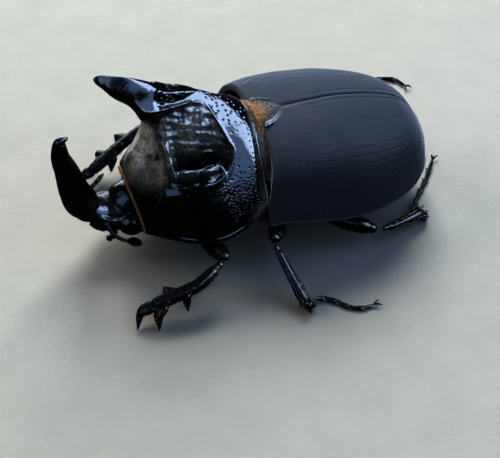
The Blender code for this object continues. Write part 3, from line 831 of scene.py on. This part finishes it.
# %% Eyes
def eye(side):
    low, high = (np.array(c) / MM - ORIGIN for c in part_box(f"eye_{side}"))
    centre, radius = (low + high) / 2, (high - low) / 2
    obj = ball("eye", centre, radius, 60, 80)
    push(obj, -0.012 * step(0.05, 0.0, pits(coords(obj), 0.11, 41)))
    dress(obj, f"compound_eye_{side}", FACETS, "eye", f"eye_{side}")


for side in SIDES:
    eye(side)

# %% [markdown]
# ## Mouthparts and feelers
# Below the shovel sit two blunt jaws and two jointed palps. Each feeler is a stalk of small beads that
# ends in a club of three leaves, the mark of the scarab family.

# %% Jaws, palps and feelers
def mirrored(points, sign):
    return [(x * sign, y, z) for x, y, z in points]


def segments(count, depth):
    """Swells a limb into that many segments."""
    return lambda k, angle: 1 + depth * np.cos(2 * math.pi * count * (k - 0.5 / count))


for side, sign in SIDES.items():
    jaw = skin("jaw", [copy_of(f"mandible_{side}")], 0.07, ease=6, swell=0.04)
    push(jaw, 0.03 * lumps(coords(jaw), 0.6, 51))
    dress(jaw, f"jaw_{side}", LIMB, "limb_black", f"mandible_{side}")
    palp = limb("palp", mirrored([(1.9, -20.7, 4.7), (2.7, -20.9, 3.7), (3.0, -22.1, 3.2)], sign),
                [(0.4, 0.4), (0.42, 0.42), (0.46, 0.46)], rings=60, beads=segments(4, 0.2))
    dress(palp, f"mouth_palp_{side}", LIMB, "limb_black", f"palp_{side}")
    path = [(2.6, -21.8, 5.7), (3.6, -21.4, 4.9), (4.3, -20.2, 3.9), (4.4, -19.5, 3.45)]
    leaves = [limb("stalk", mirrored(path, sign), [(0.38, 0.38), (0.3, 0.3), (0.28, 0.28), (0.3, 0.3)],
                   rings=110, beads=segments(7, 0.16))]
    for leaf in (-1, 0, 1):
        path = [(4.4, -19.6, 3.45 + 0.1 * leaf), (4.5 + 0.1 * leaf, -18.6, 3.1 + 0.26 * leaf),
                (4.6 + 0.08 * leaf, -17.5, 2.75 + 0.24 * leaf)]
        sizes = [(0.35, 0.13), (0.85, 0.15), (0.55, 0.12)]
        leaves.append(limb("leaf", mirrored(path, sign), sizes, blunt=4))
    feeler = skin("feeler", leaves, 0.05, ease=2)
    dress(feeler, f"feeler_{side}", LIMB, "limb_black", f"antenna_{side}")

# %% [markdown]
# ## Legs
# Thigh and shin follow the line of their solids. A shin is not round: straight ridges run down it, it
# is waisted behind the knee, and broad curved teeth grow out of it, which a digging beetle wears down.
# The middle and hind shins end in a crown of spines instead. A foot has five joints that each flare and
# stop short, and two claws.

# %% Thighs and shins
FORE, FAR_FORE = [(0.8, 0.75), (1.08, 0.82), (1.15, 0.95)], [(0.62, 0.7), (0.78, 0.85), (0.88, 0.9)]
MIDDLE, HIND = [(0.55, 0.5), (0.7, 0.65), (1.05, 0.95)], [(0.55, 0.5), (0.72, 0.65), (1.3, 1.05)]
THIGH = [(0.95, 0.95), (1.3, 1.2), (0.9, 0.9)]
# Half-widths of a tooth along it, by how many points its path has
TOOTH = {3: [(1.35, 0.85), (0.85, 0.6), (0.13, 0.13)], 2: [(1.9, 0.85), (0.15, 0.15)]}
SPINES = 9
# Per leg: the thigh's path, the shin's path and half-widths, and the path of each tooth from its root
LEGS = {
    "fore_left": (
        [(6.6, -9.6, 3.8), (10.4, -8.9, 4.6), (14.4, -8.2, 5.9)],
        [(14.9, -8.9, 5.9), (16.8, -14.0, 4.2), (17.0, -19.6, 3.0)], FORE,
        [[(16.9, -18.9, 2.9), (16.8, -20.9, 2.1), (18.3, -22.1, 0.2)], [(16.8, -17.6, 3.1),
         (18.1, -19.0, 1.6), (19.4, -19.3, 0.2)], [(16.7, -14.8, 3.9), (18.4, -15.0, 1.6)],
         [(16.9, -16.4, 3.5), (14.5, -17.3, 3.5)]]),
    "fore_right": (
        [(-6.6, -9.6, 3.8), (-11.2, -9.6, 4.7), (-15.5, -9.5, 6.4)],
        [(-16.1, -10.2, 6.6), (-14.6, -15.4, 4.5), (-12.6, -20.6, 2.4)], FAR_FORE,
        [[(-12.7, -19.9, 2.5), (-13.2, -21.2, 1.7), (-14.5, -21.8, 0.2)], [(-13.5, -17.9, 3.4),
         (-15.4, -18.5, 2.8), (-17.0, -18.8, 1.9)], [(-14.4, -14.6, 4.8), (-18.0, -15.5, 4.0)],
         [(-14.2, -16.8, 3.4), (-12.7, -17.5, 1.4)]]),
    "middle_left": (
        [(7.4, 1.6, 3.6), (10.2, 0.4, 4.8), (13.4, -1.1, 6.3)],
        [(14.2, -1.3, 6.2), (18.2, -0.3, 3.5), (21.5, 0.6, 1.4)], MIDDLE,
        [[(21.2, 0.5, 1.5), (22.6, 1.0, 0.2)], [(21.2, 0.8, 1.3), (21.9, 2.0, 0.5)]]),
    "middle_right": (
        [(-7.4, 1.6, 3.6), (-10.2, 0.4, 4.8), (-13.2, -1.1, 6.2)],
        [(-13.9, -1.3, 6.1), (-17.4, -0.3, 3.5), (-20.3, 0.8, 1.4)], MIDDLE,
        [[(-20.0, 0.7, 1.5), (-21.3, 1.2, 0.2)], [(-20.0, 1.0, 1.3), (-20.6, 2.2, 0.5)]]),
    "hind_left": (
        [(7.8, 8.2, 3.4), (10.6, 11.2, 3.5), (13.0, 14.2, 3.3)],
        [(13.1, 15.1, 3.2), (11.5, 18.6, 2.2), (9.6, 22.3, 1.35)], HIND,
        [[(9.8, 21.6, 1.3), (8.2, 23.4, 0.3)], [(9.9, 21.9, 1.2), (9.3, 23.8, 0.3)]]),
    "hind_right": (
        [(-7.8, 8.2, 3.4), (-10.8, 11.4, 3.8), (-13.6, 14.6, 3.8)],
        [(-14.0, 15.5, 3.7), (-16.3, 19.0, 2.5), (-18.4, 22.4, 1.4)], HIND,
        [[(-18.1, 21.7, 1.3), (-19.4, 23.6, 0.3)], [(-18.0, 22.1, 1.2), (-17.8, 23.9, 0.3)]]),
}


def axis_of(points):
    """The long axis of a limb: its middle, its direction and two directions across it."""
    middle = points.mean(0)
    return middle, np.linalg.svd(points - middle, full_matrices=False)[2]


def ridged(k, angle):
    """Straight ridges, a waist behind the knee and a swollen far end."""
    ridges = 0.16 * np.abs(np.cos(2.5 * angle)) ** 0.7 * step(0.08, 0.2, k) - 0.06
    return 1 + ridges - 0.2 * bump(0.1, 0.035, k) + 0.1 * bump(0.96, 0.03, k)


def thigh_form(k, angle):
    """A keel along the thigh and a cup at the knee."""
    return 1 + 0.05 * np.cos(3 * angle) - 0.12 * bump(0.88, 0.04, k) + 0.1 * bump(0.98, 0.03, k)


def crown(path, half):
    """Short spines round the far end of a shin."""
    end = np.array(path[-1])
    ahead = unit(end - path[-2])
    first = np.cross(ahead, [0, 0, 1.0])
    second = np.cross(first, ahead)
    spines = []
    for turn in np.arange(SPINES) * 2 * math.pi / SPINES:
        out = first * math.cos(turn) * half[0] + second * math.sin(turn) * half[1]
        root, tip = end - ahead * 0.55 + out * 0.7, end + ahead * 0.4 + out * 1.25
        tip[2] = max(tip[2], 0.12)
        sizes = [(0.24, 0.24), (0.07, 0.07)]
        spines.append(limb("spine", [root, tip], sizes, rings=10, around=10, blunt=3))
    return spines


grown = {}
for leg, (thigh_path, shin_path, shin_sizes, teeth) in LEGS.items():
    sign = math.copysign(1, thigh_path[0][0])
    thigh = limb("thigh", thigh_path, THIGH, (0, 1, 0), rings=80, around=40, blunt=5, beads=thigh_form)
    thigh = skin("thigh", [thigh], 0.09, ease=1)
    t = coords(thigh)
    push(thigh, -0.05 * step(0.17, 0.05, pits(t, 0.5, 61)) + 0.03 * lumps(t, 1.3, 62))
    pieces = [limb("shin", shin_path, shin_sizes, side=(sign, 0, 0.8), rings=120, around=80, blunt=8,
                   beads=ridged)]
    pieces += [limb("tooth", path, TOOTH[len(path)], rings=30, around=20, blunt=3) for path in teeth]
    if leg[:4] != "fore":
        pieces += crown(shin_path, shin_sizes[-1])
    shin = skin("shin", pieces, 0.06, ease=2)
    t = coords(shin)
    middle, (long_way, across, up) = axis_of(t)
    along = (t - middle) @ long_way
    rods = np.stack([0.55 * along, (t - middle) @ across, (t - middle) @ up], -1)
    push(shin, -0.035 * step(0.14, 0.06, pits(rods, 0.4, 63)) + 0.015 * lumps(t, 0.9, 64))
    grown[f"femur_{leg}"] = dress(thigh, f"thigh_{leg}", LIMB, "limb_black", f"femur_{leg}")
    grown[f"tibia_{leg}"] = dress(shin, f"shin_{leg}", LIMB, "limb_black", f"tibia_{leg}")

# %% Feet
FEET = {
    "fore_left": (
        [(15.3, -17.6, 2.0), (14.0, -15.2, 1.2), (13.2, -12.6, 0.5), (12.6, -10.6, 0.35)],
        [(12.0, -9.9, 0.5), (12.9, -9.6, 0.5)]),
    "fore_right": (
        [(-12.7, -18.6, 1.6), (-11.9, -20.0, 0.9), (-11.3, -21.2, 0.4), (-10.9, -22.4, 0.35)],
        [(-10.3, -23.0, 0.5), (-11.2, -23.3, 0.5)]),
    "middle_left": (
        [(20.6, 1.7, 0.9), (20.6, 3.2, 0.5), (21.7, 4.9, 0.4), (23.3, 6.4, 0.35), (24.0, 8.2, 0.35),
         (23.9, 9.6, 0.35)],
        [(24.4, 10.6, 0.4), (23.3, 10.6, 0.4)]),
    "middle_right": (
        [(-19.4, 1.9, 0.9), (-19.6, 3.4, 0.5), (-20.6, 5.0, 0.4), (-21.6, 6.6, 0.35), (-21.8, 8.2, 0.35),
         (-21.4, 9.6, 0.35)],
        [(-21.8, 10.6, 0.4), (-20.7, 10.5, 0.4)]),
    "hind_left": (
        [(8.0, 21.6, 0.8), (6.4, 22.9, 0.5), (4.7, 24.4, 0.4), (2.2, 26.5, 0.35), (0.0, 28.1, 0.35),
         (-1.5, 29.2, 0.35)],
        [(-2.5, 29.4, 0.4), (-1.9, 30.3, 0.4)]),
    "hind_right": (
        [(-19.9, 22.7, 0.8), (-21.0, 24.2, 0.5), (-21.9, 26.4, 0.4), (-22.4, 29.2, 0.35),
         (-21.3, 31.4, 0.35), (-19.4, 32.3, 0.35)],
        [(-18.3, 31.9, 0.4), (-18.6, 33.0, 0.4)]),
}
FOOT_JOINTS = 5
FOOT_HALF = {"fore": 0.36, "midd": 0.42, "hind": 0.5}


def flare(k, angle):
    """Each joint widens towards its far end and the next one starts narrow."""
    part = np.mod(k * FOOT_JOINTS, 1.0)
    return 0.62 + 0.5 * part ** 1.5 * step(1.0, 0.94, part)


def foot(path, claws, half):
    path = np.array(path)
    sizes = [(h, 0.92 * h) for h in np.linspace(half, 0.34, len(path))]
    pieces = [limb("joints", path, sizes, side=(0.3, 1, 0), rings=200, around=24, beads=flare)]
    for tip in claws:
        way = np.array(tip) - path[-1]
        bend = path[-1] + way * 0.55 + [0, 0, 0.28]
        claw = [path[-1] - way * 0.1, bend, tip]
        pieces.append(limb("claw", claw, [(0.16, 0.2), (0.12, 0.15), (0.06, 0.07)], rings=16, around=12))
    for place in np.arange(1, FOOT_JOINTS) / FOOT_JOINTS:
        at = follow(spacing(path), path, place)
        ahead = unit(follow(spacing(path), path, place + 0.05) - at)
        out = np.cross(ahead, [0, 0, 1])
        for side in (-1, 1):
            tip = at + out * side * (half + 0.12) + ahead * 0.45
            tip[2] = max(tip[2] - 0.1, 0.08)
            spine = [at + out * side * 0.2, tip]
            pieces.append(limb("spine", spine, [(0.15, 0.15), (0.05, 0.05)], rings=8, around=8))
    return skin("foot", pieces, 0.05, ease=1)


for leg, (path, claws) in FEET.items():
    made = foot(path, claws, FOOT_HALF[leg[:4]])
    set_coords(made, np.maximum(coords(made), [-np.inf, -np.inf, 0.0]))
    grown[f"tarsus_{leg}"] = dress(made, f"foot_{leg}", LIMB, "limb_black", f"tarsus_{leg}")

# %% [markdown]
# ## The underside
# Below, the beetle is a set of brown plates with soft skin between them. They keep the solids' shapes,
# rounded, with the belly's rings pressed in and the coarse pits of the breast plates.

# %% Belly, breast plates and tail plate
RING, FIRST_RING = 3.1, 9.0
for node, name, voxel in (("abdomen", "belly", 0.2), ("sternum", "breast_plate", 0.16),
                          ("prosternum", "front_breast_plate", 0.16), ("pygidium", "tail_plate", 0.12)):
    made = skin(name, [copy_of(node)], voxel, ease=8, swell=0.08)
    b = coords(made)
    groove = 0.0
    if node == "abdomen":
        bow = b[:, 1] + 0.02 * b[:, 0] ** 2
        groove = 0.28 * bump(RING / 2, 0.22, np.mod(bow - FIRST_RING, RING))
        groove = groove * step(8.5, 9.5, b[:, 1]) * step(5.6, 5.0, b[:, 2])
    push(made, -groove - 0.06 * step(0.24, 0.1, pits(b, 0.7, 71)) + 0.05 * lumps(b, 2.0, 72))
    grown[node] = dress(made, name, BROWN, "underside", node)

# %% Soft skin under the rear margin of the shield
COLLAR_REACH = 8.6


def rear_height(x):
    return shield_top(x, np.zeros_like(x))


across = np.linspace(-COLLAR_REACH, COLLAR_REACH, 15)
arch_line = np.stack([across, np.full(15, 0.75), rear_height(across) - 0.95], -1)
collar = limb("collar", arch_line, [(1.7, 0.45)] * 15, side=(0, 1, 0), rings=120, around=32, blunt=20)
push(collar, 0.06 * lumps(coords(collar), 0.8, 75))
dress(collar, "collar_skin", SOFT, "underside")

# %% [markdown]
# ## Hair
# Where the plates meet the beetle carries hair: a golden collar behind the shield, a short fringe under
# its front margin, and stiff bristles on legs and underside. Every hair is a thin three-sided spike of
# mesh, and all the hairs of a coat are one mesh. Each has its own small patch of the OFBake map, at
# its root's place on the unrolled plate that it grows from.


# %% Hair from roots
PATCH = 0.003


def coat(name, roots, ways, lengths, width, droop, chart, seed):
    """Many spikes in one mesh. Droop lifts or lowers the tips, chart is each root's place on the map."""
    rng = np.random.default_rng(seed)
    count, rings, sides = len(roots), 4, 3
    ways = unit(ways)
    side = unit(np.cross(ways, rng.normal(size=(count, 3))))
    up = np.cross(ways, side)
    droop = np.outer(np.broadcast_to(droop, count), [0.0, 0.0, 1.0])
    t = np.linspace(0, 1, rings)[None, :, None, None]
    turn = (np.arange(sides) * 2 * math.pi / sides)[None, None, :, None]
    long_way = lengths[:, None, None, None]
    spine = roots[:, None, None] + long_way * (ways[:, None, None] * t + droop[:, None, None] * t ** 2)
    thick = width * (1 - 0.92 * t ** 1.5)
    ring = side[:, None, None] * np.cos(turn) + up[:, None, None] * np.sin(turn)
    points = (spine + ring * thick).reshape(-1, 3)
    start = np.arange(count)[:, None, None] * rings * sides
    ends = np.stack([(rings - 1) * sides + np.arange(sides), np.arange(sides)[::-1]])
    faces = (np.array(grid_faces(rings, sides, True)) + start).reshape(-1, 4).tolist()
    faces += (ends + start).reshape(-1, 3).tolist()
    obj = outward(new_object(name, points, faces))
    local = np.stack(np.broadcast_arrays(t[..., 0] - 0.5, turn[..., 0] / (2 * math.pi) - 0.5), -1)
    spot = (chart[:, None, None] + PATCH * local).reshape(-1, 2)
    layer = obj.data.uv_layers.new(name="OFBake")
    index = np.empty(len(obj.data.loops), np.int32)
    obj.data.loops.foreach_get("vertex_index", index)
    layer.data.foreach_set("uv", spot[index].astype(np.float32).ravel())
    mark(obj, "shade", np.repeat(rng.uniform(0, 1, count), rings * sides))
    dress(obj, name, HAIR, "underside")


def unit_chart(u, v):
    """Places on the map, kept a patch away from its border."""
    return np.stack([0.01 + 0.98 * np.clip(u, 0, 1), 0.01 + 0.98 * np.clip(v, 0, 1)], -1)


# %% The golden collar
CHART_WIDTH = 18.0
rng = np.random.default_rng(81)
count = 10000
x = rng.normal(0, 6.5, count)
x = np.where(np.abs(x) > COLLAR_REACH, rng.uniform(-COLLAR_REACH, COLLAR_REACH, count), x)
row = rng.uniform(0, 1, count)
thin = step(9.2, 5.0, np.abs(x))
y = 0.1 + (0.4 + 1.2 * thin) * row - 0.9 * (x / 10.6) ** 2
z = rear_height(x) - 0.5 - 0.12 * row - 0.1 * (1 - thin)
sideways, lift = rng.normal(0, 0.28, count), rng.normal(0.1, 0.12, count)
ways = np.stack([0.03 * x + sideways, np.ones(count), lift], -1)
droop = rng.uniform(-0.25, -0.02, count)
lengths = rng.uniform(0.8, 1.45, count) * (0.75 + 0.25 * thin)
coat("golden_collar_hair", np.stack([x, y, z], -1), ways, lengths, 0.035, droop,
     unit_chart(x / CHART_WIDTH + 0.5, row), 82)

# %% The fringe under the front margin
count = 2600
turn = rng.uniform(0.05, math.pi - 0.05, count)
roots = np.stack(np.broadcast_arrays(*shield_section(AT_ONE, turn[None, :])), -1)[0]
x = roots[:, 0]
ways = np.stack([0.05 * x, np.full(count, -1.0), rng.uniform(-0.7, -0.2, count)], -1)
ways += rng.normal(0, 0.15, ways.shape)
lengths = rng.uniform(0.25, 0.45, count)
coat("front_fringe_hair", roots + [0.0, 0.12, -0.42], ways, lengths, 0.03, -0.3,
     unit_chart(x / CHART_WIDTH + 0.5, rng.uniform(0, 1, count)), 83)


# %% Bristles on legs and breast
def roots_on(obj, count, rng):
    """A finished piece's points in the beetle's frame, and some from its underside with their normals."""
    points, facing = coords(obj) / MM - ORIGIN, normals(obj)
    allowed = np.flatnonzero((facing[:, 2] < 0.5) & (points[:, 2] < 6.4))
    chosen = rng.choice(allowed, min(count, len(allowed)), replace=False)
    return points, points[chosen], facing[chosen]


rng = np.random.default_rng(91)
roots, ways, lengths, charts = [], [], [], []
wanted = [(f"femur_{leg}", 60, 0.55) for leg in LEGS] + [(f"tibia_{leg}", 140, 0.6) for leg in LEGS]
wanted += [("prosternum", 420, 0.9), ("sternum", 520, 0.9), ("abdomen", 260, 0.6), ("pygidium", 200, 0.7)]
for tile, (node, count, length) in enumerate(wanted):
    whole, at, out = roots_on(grown[node], count, rng)
    middle, (long_way, across, up) = axis_of(whole)
    outward_way = long_way * np.sign((long_way * (middle - [0, 4, 6])).sum())
    roots.append(at)
    ways.append(out * 0.7 + outward_way * 0.8 + rng.normal(0, 0.15, at.shape))
    lengths.append(rng.uniform(0.5, 1.0, len(at)) * length)
    u = (at - middle) @ long_way / np.ptp((whole - middle) @ long_way) + 0.5
    v = np.arctan2((at - middle) @ across, (at - middle) @ up) / (2 * math.pi) + 0.5
    charts.append(unit_chart((tile % 4 + 0.05 + 0.9 * u) / 4, (tile // 4 + 0.05 + 0.9 * v) / 4))
roots, ways, lengths, charts = (np.concatenate(rows) for rows in (roots, ways, lengths, charts))
ways = unit(ways)
room = np.maximum(roots[:, 2] - 0.05, 0.05)
lengths = np.where(ways[:, 2] < 0, np.minimum(lengths, room / np.maximum(1e-3, -ways[:, 2])), lengths)
coat("leg_and_breast_bristles", roots, ways, lengths, 0.028, 0.0, charts, 92)

# %% [markdown]
# ## Floor, light and camera
# Black lacquer shows its surroundings more than itself. Cool blue windows that only reflections see
# draw the bands on the polished faces that look up and back, and leave the near side black. Three weak
# lamps that only the matt part of a surface sees shape the wing cases, the hair and the floor.
# Reflections leave the floor out, so its pale tone doesn't grey the dark flanks.

# %% Floor
bpy.ops.mesh.primitive_plane_add(size=1.6)
floor = bpy.context.object
floor.name = "floor"
PLASTER = Finish("pale_plaster_floor", IOR=1.45, Roughness=0.8)
cloud = PLASTER.add("TexNoise", PLASTER.sized(6.0, Detail=4.0))["Fac"]
tone = PLASTER.add("Mix", {0: cloud, 6: "#8b8b82", 7: "#98988f"}, data_type="RGBA")[2]
trowel = PLASTER.add("TexNoise", PLASTER.sized(0.8, Detail=3.0))["Fac"]
trowel = PLASTER.add("Bump", {"Height": trowel, "Distance": 0.05 * MM})["Normal"]
PLASTER.feed(Base_Color=tone, Normal=trowel)
floor.data.materials.append(PLASTER.material)
floor.visible_glossy = False
print("floor is 1.6 m wide, so its edge stays out of sight")


# %% Lights
LAMP_DISTANCE = 0.7
SKY, DEEP_SKY = "#b9d2f5", "#97bdee"
# Each lamp: azimuth, elevation, width, height, watts and colour
SEEN_IN_REFLECTIONS = {
    "tall_window": (158, 44, 0.5, 0.78, 40.0, SKY),
    "side_window": (111, 41, 0.34, 0.4, 3.9, DEEP_SKY),
    "low_window": (143, 17, 0.34, 0.34, 3.0, SKY),
    "front_window": (12, 38, 0.8, 0.5, 6.5, DEEP_SKY),
    "far_window": (256, 48, 0.3, 0.3, 0.6, DEEP_SKY),
    "far_wall": (266, 14, 0.5, 0.5, 6.0, "#c9d6e8"),
}
SEEN_BY_MATT_SURFACES = {
    "overhead_light": (250, 42, 0.4, 0.4, 14.0, "#f7f9ff"),
    "weak_front": (325, 30, 0.45, 0.45, 4.2, "#fff4e8"),
    "weak_near": (92, 28, 0.45, 0.45, 0.35, "#e4ecf5"),
}


def direction(azimuth, elevation):
    """A way out from the beetle. Azimuth 0 is in front of it and 90 on its left."""
    a, e = math.radians(azimuth), math.radians(elevation)
    return Vector((math.sin(a) * math.cos(e), -math.cos(a) * math.cos(e), math.sin(e)))


def window(name, azimuth, elevation, width, height, watts, colour):
    """A soft window that looks at the beetle."""
    way = direction(azimuth, elevation)
    data = bpy.data.lights.new(name, "AREA")
    data.shape = "RECTANGLE"
    data.size, data.size_y, data.energy, data.color = width, height, watts, srgb(colour)[:3]
    lamp = bpy.data.objects.new(name, data)
    lamp.location = way * LAMP_DISTANCE
    lamp.rotation_euler = (-way).to_track_quat("-Z", "Y").to_euler()
    bpy.context.scene.collection.objects.link(lamp)
    return lamp


for name, lamp in SEEN_IN_REFLECTIONS.items():
    window(name, *lamp).visible_diffuse = False
for name, lamp in SEEN_BY_MATT_SURFACES.items():
    window(name, *lamp).visible_glossy = False
world = bpy.data.worlds.new("studio")
world.use_nodes = True
surroundings = world.node_tree.nodes["Background"].inputs
surroundings["Color"].default_value = srgb("#8d949c")
surroundings["Strength"].default_value = 0.12
bpy.context.scene.world = world
print("lamps of the two kinds:", len(SEEN_IN_REFLECTIONS), "and", len(SEEN_BY_MATT_SURFACES))

# %% Camera
VIEW_AZIMUTH, VIEW_ELEVATION, VIEW_DISTANCE = 71.5, 43.0, 0.2192
AIM = Vector(((np.array([3.94, -1.46, 0.0]) + ORIGIN) * MM).tolist())
back = direction(VIEW_AZIMUTH, VIEW_ELEVATION)
lens = bpy.data.cameras.new("camera")
lens.sensor_width, lens.lens, lens.clip_start = 36.0, 110.4, 0.01
camera = bpy.data.objects.new("camera", lens)
camera.location = AIM + back * VIEW_DISTANCE
camera.rotation_euler = back.to_track_quat("Z", "Y").to_euler()
bpy.context.scene.collection.objects.link(camera)
bpy.context.scene.camera = camera
bpy.context.scene.view_settings.view_transform = "Standard"
bpy.context.scene.view_settings.gamma = 0.75
print("camera stands, mm:", [round(v / MM, 1) for v in camera.location])

# %% Last update of the scene
bpy.context.view_layer.update()
